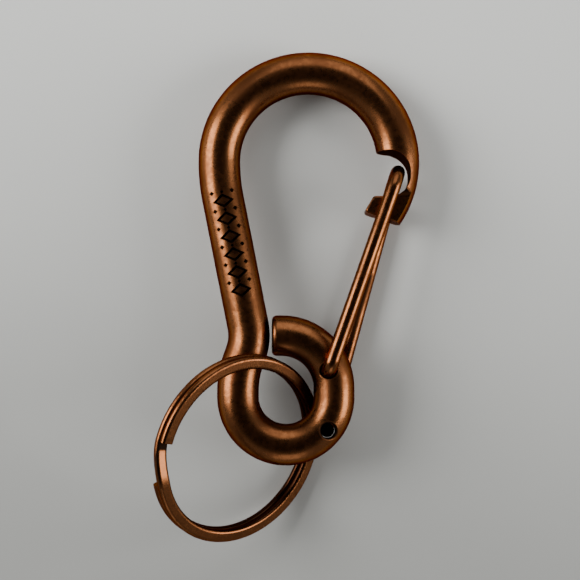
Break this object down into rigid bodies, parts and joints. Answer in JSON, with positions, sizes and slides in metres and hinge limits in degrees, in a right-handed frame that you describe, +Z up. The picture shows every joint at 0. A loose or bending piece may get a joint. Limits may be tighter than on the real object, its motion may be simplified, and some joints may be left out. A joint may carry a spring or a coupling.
{
  "type": "carabiner key ring",
  "caption": "Cast carabiner hook with an integral eye at its foot, a sprung wire gate that closes on the notched nose, and a split ring hanging in the eye.",
  "frame": {"origin": "centre of the whole object's footprint, on the table it lies on", "axes": "+Y along the carabiner from its eye towards the arch, +Z up from the table through the front face, +X to the gate side"},
  "size_m": [0.0364, 0.0782, 0.0207],
  "materials": {
    "hook_plating": "antique copper plating on cast zinc, satin, dark in the recesses",
    "wire_plating": "antique copper plating on drawn spring wire, smooth",
    "ring_plating": "antique copper plating on flattened steel wire, smooth"
  },
  "bodies": {
    "hook": {"hook_body": "hook_plating"},
    "gate_front": {"gate_wire_front": "wire_plating"},
    "gate_back": {"gate_wire_back": "wire_plating"},
    "ring": {"split_ring": "ring_plating"}
  },
  "joints": [
    {"name": "gate_swing", "type": "hinge", "parent": "hook", "child": "gate_front", "pos_m": [0.00678, -0.011, 0.00679], "axis": [0.0169, 0.0749, 0.997], "range_deg": [0, 20], "stiffness_Nm_per_rad": 0.25, "springref_deg": -8.59},
    {"name": "gate_flex", "type": "hinge", "parent": "gate_front", "child": "gate_back", "pos_m": [0.00855, 0.0238, 0.00414], "axis": [0.0169, 0.0749, 0.997], "range_deg": [-4.3, 0]},
    {"name": "ring_swing", "type": "hinge", "parent": "hook", "child": "ring", "pos_m": [0.0013, -0.01278, 0.004], "axis": [0.4829, -0.0166, -0.8755], "range_deg": [0, 120]}
  ],
  "couplings": [
    {"joint": "gate_flex", "follows": "gate_swing", "ratio": -0.21}
  ]
}
